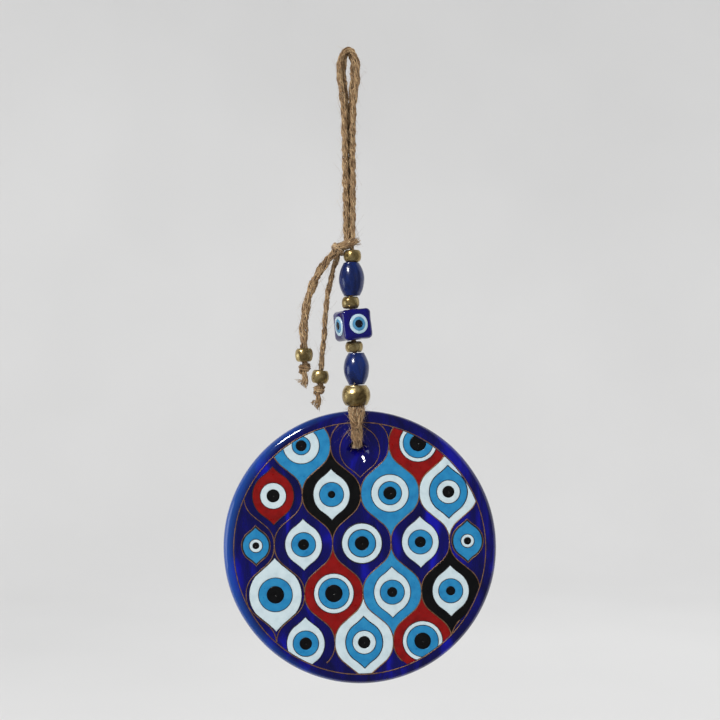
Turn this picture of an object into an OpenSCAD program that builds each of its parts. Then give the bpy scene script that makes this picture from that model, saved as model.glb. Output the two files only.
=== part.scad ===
// Evil eye wall hanging: an enamelled cobalt glass disc hung on doubled jute
// twine, under a strand of brass and glass beads. All sizes are millimetres.
// The origin is the point where the hanging loop rests on its nail, +Z is up,
// and the enamelled face looks along -Y.

/* [Glass disc] */
// Diameter of the glass disc
disc_d = 120; // [112:1:128]
// Thickness of the glass
disc_t = 8; // [7:0.5:8]
// Diameter of the hole that the twine passes through
hole_d = 5.2; // [5:0.1:5.6]
// Distance from the rim's top down to the middle of the hole
hole_drop = 15.7; // [15.2:0.1:16.2]

/* [Enamel] */
// Thickness of the fired enamel and of the gold outline
enamel_t = 0.3; // [0.2:0.05:0.35]
// Distance between two eyes in a row, on a 120 mm disc
eye_pitch = 25.5; // [25:0.1:25.6]
// Width of the gold lines
gold_line = 0.4; // [0.3:0.05:0.6]

/* [Beads] */
// Diameter of the big brass bead
big_bead_d = 12.6; // [12.4:0.1:13]
// Diameter of the small brass beads
spacer_d = 7.8; // [7.6:0.1:8.2]
// Diameter of the oval glass beads at the middle
oval_d = 11.2; // [10.5:0.1:11.6]
// Side of the glass cube with the eyes
cube_side = 13.4; // [12.8:0.1:13.4]

/* [Twine] */
// Diameter of one strand of jute twine
twine_d = 2.2; // [1.8:0.1:2.2]
// Diameter of the loosened left tail
left_tail_d = 3.4; // [2.4:0.1:3.6]

/* [Hidden] */
$fn = 48;

cobalt = "#14149a";
jute = "#a98860";
brass = "#a8935a";

// Heights, counted from the point where the loop rests on its nail
disc_top_z = -156.5;
disc_z = disc_top_z - disc_d / 2;
hole_z = disc_top_z - hole_drop;
big_bead_z = -149.9;
oval_lower_z = -138.1;
spacer_lower_z = -128.4;
cube_z = -118.8;
spacer_middle_z = -108.95;
oval_upper_z = -98.7;
spacer_upper_z = -88.5;

// How far each bead sits to the side of the plumb line
oval_lower_x = 0.4;
spacer_lower_x = -0.4;
cube_x = -0.8;
spacer_middle_x = -1.5;
oval_upper_x = -0.8;
spacer_upper_x = -0.3;

// The hole's mouth on each face of the glass
hole_mouth_d = 7.2;
hole_mouth_depth = 1.5;

// Heights and bores of the beads
oval_lower_h = 14;
oval_upper_h = 14.6;
oval_end_d = 6.6;
spacer_lower_h = 4.8;
spacer_upper_h = 5.2;
spacer_bore_d = 5;
oval_bore_d = 5.2;
big_bore_d = 6;
big_bead_above = 4.5;
big_mouth_d = 9.6;
big_mouth_depth = 4.8;
cube_bore_d = 6;
cube_corner_r = 10.4;
cube_turn = 24;
cube_roll = -5;

// The eyes on the cube's four sides
cube_eye_d = 8.6;
cube_iris_d = 6;
cube_pupil_d = 3.5;
cube_eye_sunk = 0.6;
cube_eye_proud = 0.15;

// The eye lattice, on a 120 mm disc: five rows of cells, every other row half a
// pitch aside, inside a ring of gold. From the middle of a cell's side a short
// straight leads to an S of two equal arcs with a straight between them, which runs
// up to the tip, so that neighbouring cells fit each other.
lattice_scale = disc_d / 120;
row_pitch = 21.6;
middle_row = 2;
lattice_x = 1;
lattice_z = 2.2;
ring_r = 55;
cell_side = 0.5;
cell_turn = 50;
cell_arc_r = (sin(cell_turn) * (row_pitch / 2 - cell_side) - cos(cell_turn) * eye_pitch / 4)
    / (1 - cos(cell_turn));
ARC_STEPS = 4;

// Eye layers, outermost first, as [shape, colour, half width]. C fills the whole
// cell. Where an eye has no such field, the bare glass shows around it.
// Cells are [column, row, side shift, layers].
C = "cell";
O = "ogee";
R = "round";
cells = [
    [-1, 0, 0, [[C, "blue", 0], [R, "white", 7.9], [R, "blue", 4], [R, "black", 2.4]]],
    [1, 0, 0, [[C, "red", 0], [R, "white", 8.2], [R, "blue", 6.5], [R, "black", 3.6]]],
    [-1.5, 1, 0, [[O, "red", 9.1], [R, "white", 5.7], [R, "black", 2.85]]],
    [-0.5, 1, 0, [[C, "black", 0], [O, "white", 8], [R, "blue", 5.3], [R, "black", 1.6]]],
    [0.5, 1, 0, [[C, "blue", 0], [R, "white", 8.2], [R, "blue", 5.1], [R, "black", 2.85]]],
    [1.5, 1, 0, [[C, "white", 0], [O, "blue", 8.3], [R, "white", 5.1], [R, "black", 2.6]]],
    [-2, 2, 4.7, [[O, "blue", 5.8], [R, "white", 2.9], [R, "black", 1.5]]],
    [-1, 2, 0, [[O, "white", 8.1], [R, "blue", 5.3], [R, "black", 2.4]]],
    [0, 2, 0, [[R, "white", 8.8], [R, "blue", 6], [R, "black", 3.1]]],
    [1, 2, 0, [[O, "white", 8.1], [R, "blue", 5.3], [R, "black", 2.4]]],
    [2, 2, -4.9, [[O, "blue", 6.4], [R, "white", 2.9], [R, "black", 1.6]]],
    [-1.5, 3, 0, [[O, "white", 11.5], [R, "blue", 7.4], [R, "black", 3.8]]],
    [-0.5, 3, 0, [[C, "red", 0], [R, "white", 8.7], [R, "blue", 6.7], [R, "black", 3.8]]],
    [0.5, 3, 0, [[C, "blue", 0], [O, "white", 8], [R, "blue", 5.3], [R, "black", 2.2]]],
    [1.5, 3, 0, [[C, "black", 0], [O, "white", 8], [R, "blue", 5.3], [R, "black", 2]]],
    [-1, 4, 0, [[O, "white", 8.3], [R, "blue", 5.6], [R, "black", 2.7]]],
    [0, 4, 0, [[C, "white", 0], [O, "blue", 8.1], [R, "white", 5.1], [R, "black", 2.7]]],
    [1, 4, 0, [[C, "red", 0], [R, "white", 8.7], [R, "blue", 6.9], [R, "black", 3.6]]]
];
bare_cell = [0, 0];
outlined_cells = concat([for (c = cells) if (c[2] == 0) [c[0], c[1]]], [bare_cell]);

// Lone gold outlines of the eye's own shape: [column, row, side shift, lift, half width]
lone_outlines = [[0, 0, 0, -2.3, 8.7], [-2, 2, 4.7, 0, 6.3], [2, 2, -4.9, 0, 6.9]];

// Routes of the twine: [x, y, z] points from end to end. The loop's two sides mirror
// each other, and lean to the left on the way down.
loop_lean = 0.016;
loop_front_half = [
    [-1.3, -1.15, -78.6], [-1.5, -1.15, -70], [-1.6, -1.2, -55], [-1.8, -1.2, -38],
    [-2.1, -1.2, -26], [-2.9, -1.1, -17], [-3.8, -1, -10.5], [-3.9, -1, -5],
    [-3.1, -1, -1.2], [-1.8, -1, 1.1], [0, -1, 1.9]
];
loop_back_half = [
    [-1.15, 1.15, -78.6], [-1.15, 1.2, -62], [-1.15, 1.2, -42], [-1.15, 1.2, -26],
    [-1.4, 1.25, -17.5], [-2, 1.25, -11.5], [-2.3, 1.25, -6], [-2, 1.25, -2.2],
    [-1.2, 1.25, 0.2], [0, 1.25, 1.1]
];
bead_route_front = [
    [-0.3, -1.12, -85.6], [-0.3, -1.12, -88.5], [-0.8, -1.12, -98.7], [-1.4, -1.12, -109],
    [-0.9, -1.12, -118.8], [-0.4, -1.12, -128.4], [0.3, -1.12, -138.1], [0.1, -1.12, -145],
    [-0.5, -1, -147.9], [-0.9, -0.7, -150.5]
];
bead_route_back = [
    [-0.3, 1.12, -85.6], [-0.3, 1.12, -88.5], [-0.8, 1.12, -98.7], [-1.4, 1.12, -109],
    [-0.9, 1.12, -118.8], [-0.4, 1.12, -128.4], [0.3, 1.12, -138.1], [0.1, 1.12, -145],
    [0.5, 1, -147.9], [0.9, 0.7, -150.5]
];
hitch_half = [
    [-1.15, 0, -153.1], [-1.15, -0.8, -154.9], [-1.15, -3, -155.7], [-1.15, -4.8, -157.7],
    [-1.15, -5.5, -160.5], [-1.15, -5.5, -168], [-1.15, -4.7, -170.5], [-1.15, -2.4, -171.2],
    [-1.15, 2.4, -171.2], [-1.3, 4.7, -170.3], [-1.9, 5.4, -167.5], [-3, 5.4, -162.5],
    [-3.4, 4.8, -158.3], [-3.4, 2.8, -156.1], [-3.4, 0, -155.25], [-3.4, -2.8, -156.1],
    [-3.4, -5, -157.8], [-2.7, -6.9, -159.1], [-1.4, -7.7, -159.7], [0, -7.8, -159.8]
];
left_tail_route = [
    [-7.9, -2, -87], [-11.3, -2, -90.6], [-14.9, -2, -95.3], [-18.4, -2, -102.2],
    [-20.5, -2, -108.6], [-21.8, -2, -115.2], [-22.4, -2, -121.5], [-22.4, -2, -128.2],
    [-22.4, -2, -134.4]
];
right_tail_route = [
    [-6.4, 1.5, -87.5], [-8.7, 1.3, -93.9], [-10.6, 1.3, -101.2], [-12.1, 1.3, -108.2],
    [-12.9, 1.3, -115.8], [-13.54, 1.3, -123.3], [-14.62, 1.3, -132.3], [-16.05, 1.3, -144.2]
];

// Tail beads: their middles and the leaning line that the right one slides on
tail_bead_bore_d = 4.8;
tail_bead_h = 5.8;
left_bead_at = [-22.4, -2, -131.5];
right_bead_at = [-15.7, 1.3, -141.3];
right_tail_lean = 6.843;
tail_bead_drop = 2.9;
tail_knot_r = 3;
tail_end_r = 1.5;
tail_end_below = 7.3;
tail_end_h = 5.5;

// The main knot, as a fat wrap that slopes down to the tails
knot_right_at = [1, 0, -81.7];
knot_right_r = 2.1;
knot_left_at = [-5.8, 0, -84.1];
knot_left_r = 2.4;

TUBE_SIDES = 8;

function unit(v) = v / norm(v);

// The direction of the route at each of its points
function directions(p) = [
    for (i = [0:len(p) - 1]) unit(p[min(i + 1, len(p) - 1)] - p[max(i - 1, 0)])
];

// Side vectors carried along the route, so that the tube doesn't twist
function sides(d, last, i = 0) =
    i >= len(d) ? [] :
    let (now = unit(last - (last * d[i]) * d[i]))
    concat([now], sides(d, now, i + 1));

function reversed(p) = [for (i = [len(p) - 1:-1:0]) p[i]];
function mirrored(p) = [for (q = p) [-q[0], q[1], q[2]]];

// A route given up to its middle point, with the other half mirrored in x
function both_halves(p) = concat(p, [for (i = [len(p) - 2:-1:0]) mirrored(p)[i]]);

// The loop's route, moved aside in step with its depth under the nail
function leaned(p) = [for (q = p) [q[0] + loop_lean * q[2], q[1], q[2]]];

// A round tube swept along a route
module tube(route, d) {
    n = TUBE_SIDES;
    dirs = directions(route);
    us = sides(dirs, [0.6, 0.8, 0.02]);
    rings = len(route);
    points = [
        for (i = [0:rings - 1], k = [0:n - 1])
            route[i] + d / 2 * (cos(360 * k / n) * us[i]
                + sin(360 * k / n) * cross(dirs[i], us[i]))
    ];
    skin = [
        for (i = [0:rings - 2], k = [0:n - 1], half = [0, 1])
            let (a = i * n + k, b = i * n + (k + 1) % n)
            half == 0 ? [a, b, b + n] : [a, b + n, a + n]
    ];
    caps = [[for (k = [n - 1:-1:0]) k], [for (k = [0:n - 1]) (rings - 1) * n + k]];
    polyhedron(points, [for (f = concat(skin, caps)) reversed(f)]);
}

// Quarter outline of an eye with half width 1: a round side, then a hollow flank
// that runs up to the tip
SIDE_R = 1.165;
FLANK = 55;
TIP = 1.4;
SIDE_STEPS = 5;
FLANK_STEPS = 2;
function ogee_quarter() =
    let (
        side = [for (i = [0:SIDE_STEPS]) let (a = FLANK * i / SIDE_STEPS)
            [1 - SIDE_R + SIDE_R * cos(a), SIDE_R * sin(a)]],
        start = side[SIDE_STEPS],
        chord = atan2(start[0], TIP - start[1]),
        end = 2 * chord - FLANK,
        r = norm([start[0], TIP - start[1]]) / (2 * sin((FLANK - end) / 2)),
        flank = [for (i = [1:FLANK_STEPS - 1]) let (a = FLANK + (end - FLANK) * i / FLANK_STEPS)
            [start[0] - r * (cos(a) - cos(FLANK)), start[1] + r * (sin(FLANK) - sin(a))]]
    )
    concat(side, flank, [[0, TIP]]);

// Quarter outline of a lattice cell, drawn in by inset from its true edge
function cell_quarter(inset) =
    let (
        a = eye_pitch / 2,
        h = row_pitch - cell_side,
        tip_turn = inset > 0 ? acos(cell_arc_r / (cell_arc_r + inset)) : 0,
        side = [for (i = [0:ARC_STEPS]) let (t = cell_turn * i / ARC_STEPS)
            [a - cell_arc_r, cell_side] + (cell_arc_r - inset) * [cos(t), sin(t)]],
        flank = [for (i = [0:ARC_STEPS]) let (t = cell_turn + (tip_turn - cell_turn) * i / ARC_STEPS)
            [cell_arc_r, h] - (cell_arc_r + inset) * [cos(t), sin(t)]]
    )
    concat(side, flank);

// A quarter outline repeated round all four quarters
function all_quarters(q) =
    let (back = reversed(q))
    concat(q, [for (v = back) [-v[0], v[1]]], [for (v = q) [-v[0], -v[1]]], [for (v = back) [v[0], -v[1]]]);

module eye_shape(kind, half_width) {
    if (kind == C) polygon(all_quarters(cell_quarter(gold_line / 2)));
    if (kind == O)
        intersection() {
            polygon(half_width * all_quarters(ogee_quarter()));
            polygon(all_quarters(cell_quarter(gold_line / 2)));
        }
    if (kind == R) circle(r = half_width);
}

// The lattice's flat shapes stand up on the front face of the glass
module on_front() {
    translate([0, -disc_t / 2, disc_z])
        rotate([90, 0, 0])
            scale(lattice_scale)
                children();
}

module in_cell(column, row, shift = 0, lift = 0) {
    translate([lattice_x + column * eye_pitch + shift, lattice_z + (middle_row - row) * row_pitch + lift])
        children();
}

module inside_ring() {
    circle(r = ring_r - gold_line, $fn = 96);
}

// All the enamel of one colour
module enamel(colour) {
    on_front()
        linear_extrude(enamel_t / lattice_scale)
            intersection() {
                union() {
                    for (c = cells)
                        let (layers = c[3], last = len(layers) - 1)
                        for (i = [0:last])
                            if (layers[i][1] == colour)
                                in_cell(c[0], c[1], c[2])
                                    difference() {
                                        eye_shape(layers[i][0], layers[i][2]);
                                        if (i < last) eye_shape(layers[i + 1][0], layers[i + 1][2]);
                                    }
                }
                inside_ring();
            }
}

// A bead turned from a ball, cut flat at each end, with a bore along Z
module ball_bead(d, h, bore_d) {
    difference() {
        intersection() {
            sphere(d = d);
            cube([2 * d, 2 * d, h], center = true);
        }
        cylinder(d = bore_d, h = 2 * d, center = true);
    }
}

// An oval bead: its side is an arc from end to end
module oval_bead(h) {
    rise = (oval_d - oval_end_d) / 2;
    side_r = (h * h / 4 + rise * rise) / (2 * rise);
    difference() {
        rotate_extrude()
            intersection() {
                translate([oval_d / 2 - side_r, 0]) circle(r = side_r, $fn = 96);
                translate([0, -h / 2]) square([oval_d, h]);
            }
        cylinder(d = oval_bore_d, h = 2 * h, center = true);
    }
}

module cube_place() {
    translate([cube_x, 0, cube_z]) rotate([0, cube_roll, 0]) rotate([0, 0, cube_turn]) children();
}

// Something on the middle of each of the cube's four sides, pointing outwards
module on_cube_sides() {
    cube_place()
        for (a = [0:90:270])
            rotate([90, 0, a]) translate([0, 0, cube_side / 2 - cube_eye_sunk]) children();
}

module cube_eye_ring(outer_d, inner_d) {
    difference() {
        cylinder(d = outer_d, h = cube_eye_sunk + cube_eye_proud);
        translate([0, 0, -1]) cylinder(d = inner_d, h = 3);
    }
}

// A knot and the short frayed end under it, hanging from where a bead rests
module tail_knot() {
    sphere(r = tail_knot_r);
    translate([0, 0, -tail_end_below]) cylinder(r = tail_end_r, h = tail_end_h);
}

module glass_disc() {
    rim_r = disc_t / 2;
    color(cobalt, 0.9)
        difference() {
            translate([0, 0, disc_z])
                rotate([90, 0, 0])
                    rotate_extrude($fn = 96) {
                        translate([0, -rim_r]) square([disc_d / 2 - rim_r, disc_t]);
                        intersection() {
                            translate([disc_d / 2 - rim_r, 0]) circle(r = rim_r);
                            translate([disc_d / 2 - rim_r - 1, -disc_t]) square([disc_t, 2 * disc_t]);
                        }
                    }
            translate([0, 0, hole_z]) {
                rotate([90, 0, 0]) cylinder(d = hole_d, h = 3 * disc_t, center = true);
                for (face = [-1, 1])
                    rotate([90 * face, 0, 0])
                        translate([0, 0, disc_t / 2 - hole_mouth_depth])
                            cylinder(d1 = hole_d, d2 = hole_mouth_d, h = hole_mouth_depth);
            }
        }
}

module enamel_white() { color("#c3d0d4") enamel("white"); }
module enamel_turquoise() { color("#2f8ab4") enamel("blue"); }
module enamel_red() { color("#8a0d08") enamel("red"); }
module enamel_black() { color("#0c0c0e") enamel("black"); }

module gold_outline() {
    color("#8c6e50")
        on_front()
            linear_extrude(enamel_t / lattice_scale) {
                difference() {
                    circle(r = ring_r, $fn = 96);
                    circle(r = ring_r - gold_line, $fn = 96);
                }
                intersection() {
                    union() {
                        difference() {
                            union() {
                                for (c = outlined_cells)
                                    in_cell(c[0], c[1]) polygon(all_quarters(cell_quarter(-gold_line / 2)));
                            }
                            for (c = outlined_cells)
                                in_cell(c[0], c[1]) eye_shape(C, 0);
                        }
                        for (c = lone_outlines)
                            in_cell(c[0], c[1], c[2], c[3])
                                difference() {
                                    eye_shape(O, c[4]);
                                    eye_shape(O, c[4] - gold_line);
                                }
                    }
                    inside_ring();
                }
            }
}

module disc_hitch() { color(jute) tube(both_halves(hitch_half), twine_d); }

module big_brass_bead() {
    color(brass)
        translate([0, 0, big_bead_z])
            difference() {
                sphere(d = big_bead_d);
                cylinder(d = big_bore_d, h = 2 * big_bead_d, center = true);
                translate([0, 0, big_bead_above]) cylinder(d = 2 * big_bead_d, h = big_bead_d);
                translate([0, 0, -big_mouth_depth - 0.01 - big_mouth_d / 2])
                    cylinder(d1 = 2 * big_mouth_d, d2 = 0, h = big_mouth_d);
            }
}

module oval_bead_lower() {
    color("#1c3a86") translate([oval_lower_x, 0, oval_lower_z]) oval_bead(oval_lower_h);
}

module oval_bead_upper() {
    color("#1c3a86") translate([oval_upper_x, 0, oval_upper_z]) oval_bead(oval_upper_h);
}

module brass_spacer_lower() {
    color(brass)
        translate([spacer_lower_x, 0, spacer_lower_z]) ball_bead(spacer_d, spacer_lower_h, spacer_bore_d);
}

module brass_spacer_middle() {
    color(brass)
        translate([spacer_middle_x, 0, spacer_middle_z]) ball_bead(spacer_d, spacer_upper_h, spacer_bore_d);
}

module brass_spacer_upper() {
    color(brass)
        translate([spacer_upper_x, 0, spacer_upper_z]) ball_bead(spacer_d, spacer_upper_h, spacer_bore_d);
}

module eye_cube_bead() {
    color("#0a0564")
        difference() {
            cube_place()
                difference() {
                    intersection() {
                        cube(cube_side, center = true);
                        sphere(r = cube_corner_r);
                    }
                    cylinder(d = cube_bore_d, h = 2 * cube_side, center = true);
                }
            on_cube_sides() cylinder(d = cube_eye_d, h = 3);
        }
}

module cube_eye_whites() { color("#bed7e1") on_cube_sides() cube_eye_ring(cube_eye_d, cube_iris_d); }
module cube_eye_irises() { color("#5a96be") on_cube_sides() cube_eye_ring(cube_iris_d, cube_pupil_d); }
module cube_eye_pupils() {
    color("#050f19") on_cube_sides() cylinder(d = cube_pupil_d, h = cube_eye_sunk + cube_eye_proud);
}

module main_knot() {
    color(jute)
        hull() {
            translate(knot_right_at) sphere(r = knot_right_r, $fn = 32);
            translate(knot_left_at) sphere(r = knot_left_r, $fn = 32);
        }
}

module loop_strand_front() { color(jute) tube(leaned(both_halves(loop_front_half)), twine_d); }
module loop_strand_back() { color(jute) tube(leaned(both_halves(loop_back_half)), twine_d); }
module bead_cord_front() { color(jute) tube(bead_route_front, twine_d); }
module bead_cord_back() { color(jute) tube(bead_route_back, twine_d); }

module left_tail_cord() { color(jute) tube(left_tail_route, left_tail_d); }
module left_tail_bead() {
    color(brass) translate(left_bead_at) ball_bead(spacer_d, tail_bead_h, tail_bead_bore_d);
}
module left_tail_knot() {
    color(jute) translate(left_bead_at + [0, 0, -tail_bead_drop - tail_knot_r]) tail_knot();
}

module right_tail_cord() { color(jute) tube(right_tail_route, twine_d); }
module right_tail_bead() {
    color(brass)
        translate(right_bead_at) rotate([0, right_tail_lean, 0])
            ball_bead(spacer_d, tail_bead_h, tail_bead_bore_d);
}
module right_tail_knot() {
    color(jute)
        translate(right_bead_at) rotate([0, right_tail_lean, 0])
            translate([0, 0, -tail_bead_drop - tail_knot_r]) tail_knot();
}

glass_disc();
enamel_white();
enamel_turquoise();
enamel_red();
enamel_black();
gold_outline();
disc_hitch();
big_brass_bead();
oval_bead_lower();
oval_bead_upper();
brass_spacer_lower();
brass_spacer_middle();
brass_spacer_upper();
eye_cube_bead();
cube_eye_whites();
cube_eye_irises();
cube_eye_pupils();
main_knot();
loop_strand_front();
loop_strand_back();
bead_cord_front();
bead_cord_back();
left_tail_cord();
left_tail_bead();
left_tail_knot();
right_tail_cord();
right_tail_bead();
right_tail_knot();
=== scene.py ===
"""The looks of an evil eye wall hanging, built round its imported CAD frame.

Routes and outlines are written in millimetres, in the row frame, and MM turns them
into metres. -Y is the front, +Z is up, and the origin is where the loop rests on its nail.
"""
import math

import bmesh
import bpy
import numpy as np
from mathutils import Matrix, Vector, noise


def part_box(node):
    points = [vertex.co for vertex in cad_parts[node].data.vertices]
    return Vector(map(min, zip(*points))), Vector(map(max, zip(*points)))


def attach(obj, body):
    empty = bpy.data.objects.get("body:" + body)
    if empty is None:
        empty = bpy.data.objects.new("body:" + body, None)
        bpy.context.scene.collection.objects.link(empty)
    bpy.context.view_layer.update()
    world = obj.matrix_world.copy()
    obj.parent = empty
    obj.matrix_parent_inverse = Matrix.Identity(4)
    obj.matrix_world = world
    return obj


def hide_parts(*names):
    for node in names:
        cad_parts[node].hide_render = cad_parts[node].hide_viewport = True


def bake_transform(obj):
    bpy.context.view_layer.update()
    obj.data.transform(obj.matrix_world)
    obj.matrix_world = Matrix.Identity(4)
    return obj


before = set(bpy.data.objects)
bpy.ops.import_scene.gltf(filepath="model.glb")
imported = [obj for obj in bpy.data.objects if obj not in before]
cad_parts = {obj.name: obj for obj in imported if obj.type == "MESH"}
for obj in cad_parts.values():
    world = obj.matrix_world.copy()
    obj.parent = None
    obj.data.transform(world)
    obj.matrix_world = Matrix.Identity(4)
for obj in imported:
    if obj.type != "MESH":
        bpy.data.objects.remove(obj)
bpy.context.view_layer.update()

MM = 0.001
TAU = 2 * math.pi
scene = bpy.context.scene


def middle_of(node):
    """The middle of a CAD node's box, in metres."""
    low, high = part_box(node)
    return (low + high) / 2


DISC_LOW, DISC_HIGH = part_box("glass_disc")
DISC_R = (DISC_HIGH.x - DISC_LOW.x) / 2
DISC_MIDDLE = middle_of("glass_disc")
GLASS_FRONT = DISC_LOW.y
GLASS_BACK = DISC_HIGH.y

# ---- camera

LENS_MM = 55
CAMERA_AT = Vector((0.00205, -0.4842, -0.1343))
CAMERA_ROLL = math.radians(-1.35)


def make_camera():
    """A level camera in front, turned a little about its own line of sight."""
    data = bpy.data.cameras.new("main_camera")
    data.lens = LENS_MM
    data.sensor_width = 36
    camera = bpy.data.objects.new("main_camera", data)
    scene.collection.objects.link(camera)
    level = Matrix.Rotation(math.pi / 2, 4, "X")
    roll = Matrix.Rotation(CAMERA_ROLL, 4, "Z")
    camera.matrix_world = Matrix.Translation(CAMERA_AT) @ level @ roll
    scene.camera = camera


# ---- materials


def rgba(value):
    """A colour with its alpha. One number is a grey, and a socket stays as it is."""
    if isinstance(value, bpy.types.NodeSocket):
        return value
    return (*value, 1) if hasattr(value, "__len__") else (value, value, value, 1)


class Shader:
    """A Principled material with short ways to add the nodes that these looks need."""

    def __init__(self, name, roughness=0.5, metallic=0.0, transmission=0.0, ior=1.5, coat=0.0):
        self.material = bpy.data.materials.new(name)
        self.material.use_nodes = True
        self.tree = self.material.node_tree
        self.surface = self.tree.nodes["Principled BSDF"]
        self.set("Roughness", roughness)
        self.set("Metallic", metallic)
        self.set("Transmission Weight", transmission)
        self.set("IOR", ior)
        self.set("Coat Weight", coat)
        self.place = self.add("ShaderNodeTexCoord").outputs["Object"]

    def set(self, socket, value):
        self.surface.inputs[socket].default_value = value

    def add(self, kind, inputs=None, **settings):
        """A new node. Each input is a value, or another node's output."""
        node = self.tree.nodes.new(kind)
        for key, value in settings.items():
            setattr(node, key, value)
        for key, value in (inputs or {}).items():
            if isinstance(value, bpy.types.NodeSocket):
                self.tree.links.new(value, node.inputs[key])
            else:
                node.inputs[key].default_value = value
        return node

    def link(self, output, socket):
        self.tree.links.new(output, self.surface.inputs[socket])

    def stretched(self, scale, turn=(0, 0, 0)):
        """The object's coordinates, scaled by a number for each axis."""
        node = self.add("ShaderNodeMapping", {"Vector": self.place, "Scale": scale, "Rotation": turn})
        return node.outputs["Vector"]

    def noise(self, scale, detail=3.0, where=None, distortion=0.0):
        inputs = {"Vector": where or self.place, "Scale": scale, "Detail": detail}
        inputs.update({"Distortion": distortion, "Roughness": 0.55})
        return self.add("ShaderNodeTexNoise", inputs).outputs["Fac"]

    def ramp(self, factor, stops):
        """Colours (or greys) along a factor, as (place, colour) stops."""
        node = self.add("ShaderNodeValToRGB", {"Fac": factor})
        elements = node.color_ramp.elements
        while len(elements) < len(stops):
            elements.new(0.5)
        for element, (at, colour) in zip(elements, stops):
            element.position = at
            element.color = rgba(colour)
        return node.outputs["Color"]

    def mix(self, factor, a, b, blend="MIX"):
        """Two colours mixed by a factor. 0, 6, 7 and 2 are the node's sockets for colours."""
        inputs = {0: factor, 6: rgba(a), 7: rgba(b)}
        return self.add("ShaderNodeMix", inputs, data_type="RGBA", blend_type=blend).outputs[2]

    def bump(self, height, strength, distance):
        inputs = {"Height": height, "Strength": strength, "Distance": distance}
        self.link(self.add("ShaderNodeBump", inputs).outputs["Normal"], "Normal")


def srgb(*levels):
    """A colour given as it looks on screen, 0 to 255, as the shader's linear levels."""
    return tuple((v / 255 / 12.92) if v <= 10 else ((v / 255 + 0.055) / 1.055) ** 2.4 for v in levels)


def jute_material():
    """Dry jute fibre: each fibre has a tone of its own, with darker and paler stretches."""
    s = Shader("jute_twine", roughness=0.85)
    s.set("Sheen Weight", 0.25)
    s.set("Sheen Roughness", 0.5)
    s.set("Specular IOR Level", 0.25)
    tone = s.add("ShaderNodeAttribute", attribute_name="tone").outputs["Fac"]
    fibre = s.ramp(tone, [(0.0, srgb(98, 76, 52)), (0.35, srgb(146, 120, 88)),
                          (0.7, srgb(178, 152, 116)), (1.0, srgb(216, 197, 164))])
    patches = s.ramp(s.noise(420, 4), [(0.3, srgb(160, 132, 104)), (0.7, srgb(255, 252, 244))])
    s.link(s.mix(0.8, fibre, patches, "MULTIPLY"), "Base Color")
    s.bump(s.noise(3500, 3), 0.35, 0.0002)
    return s.material


def brass_material():
    """Old brass: bright where it is rubbed, with a brown patina in soft patches."""
    s = Shader("antique_brass", roughness=0.3, metallic=0.85)
    patina = s.noise(260, 5, distortion=0.6)
    s.link(s.ramp(patina, [(0.3, srgb(100, 82, 50)), (0.5, srgb(160, 138, 90)),
                           (0.72, srgb(206, 188, 138))]), "Base Color")
    s.link(s.ramp(s.noise(700, 4), [(0.3, 0.2), (0.7, 0.38)]), "Roughness")
    s.bump(s.noise(900, 4), 0.12, 0.0002)
    return s.material


# How far right the middle of the painted rim reflection is moved, so that the pale crescent shows on the left
# rim only.
PAINTED_RIM_REFLECTION_SHIFT = 0.005


def disc_glass_material():
    """Deep cobalt glass with paler streaks from pouring, and a painted reflection: a paler crescent at its
    left rim, as if a window's light reflected off the round rim.
    """
    s = Shader("cobalt_glass", roughness=0.07, transmission=0.2, ior=1.5, coat=0.2)
    s.set("Coat Roughness", 0.04)
    where = s.stretched((1.0, 1.0, 0.32), (0, math.radians(-24), 0))
    streaks = s.noise(60, 4, where, distortion=1.6)
    poured = s.ramp(streaks, [(0.34, srgb(3, 3, 52)), (0.54, srgb(7, 6, 92)), (0.78, srgb(18, 20, 190))])
    flat = s.add("ShaderNodeVectorMath", {0: s.place, 1: (1, 0, 1)}, operation="MULTIPLY").outputs[0]
    # Painted reflection: the glass far from this moved middle, on the left rim, turns pale blue as if lit by
    # a window.
    painted_reflection_middle = (DISC_MIDDLE.x + PAINTED_RIM_REFLECTION_SHIFT, 0, DISC_MIDDLE.z)
    away = s.add("ShaderNodeVectorMath", {0: flat, 1: painted_reflection_middle}, operation="DISTANCE").outputs["Value"]
    inputs = {"Value": away, "From Min": DISC_R - 0.001, "From Max": DISC_R + PAINTED_RIM_REFLECTION_SHIFT}
    painted_rim_reflection = s.add("ShaderNodeMapRange", inputs).outputs["Result"]
    s.link(s.mix(painted_rim_reflection, poured, srgb(34, 84, 168)), "Base Color")
    s.bump(s.noise(90, 2, where), 0.1, 0.001)
    return s.material


def enamel_material(name, deep, plain, pale):
    """Fired enamel: nearly even, faintly clouded, with a satin gloss."""
    s = Shader(name, roughness=0.32, coat=0.1)
    s.set("Coat Roughness", 0.15)
    s.set("Specular IOR Level", 0.25)
    s.link(s.ramp(s.noise(240, 5), [(0.25, deep), (0.5, plain), (0.78, pale)]), "Base Color")
    s.link(s.ramp(s.noise(500, 3), [(0.3, 0.26), (0.7, 0.42)]), "Roughness")
    s.bump(s.noise(620, 3), 0.08, 0.0002)
    return s.material


def gold_line_material():
    """A thin, dull line of fired gold."""
    s = Shader("gold_line", roughness=0.42, metallic=0.55)
    s.link(s.ramp(s.noise(500, 3), [(0.3, srgb(96, 64, 46)), (0.7, srgb(150, 114, 84))]), "Base Color")
    s.bump(s.noise(1500, 3), 0.2, 0.0001)
    return s.material


def dark_line_material():
    """The thin dark contour between two enamels."""
    s = Shader("dark_contour", roughness=0.5)
    s.link(s.ramp(s.noise(400, 3), [(0.3, srgb(14, 12, 16)), (0.7, srgb(36, 30, 32))]), "Base Color")
    return s.material


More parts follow.
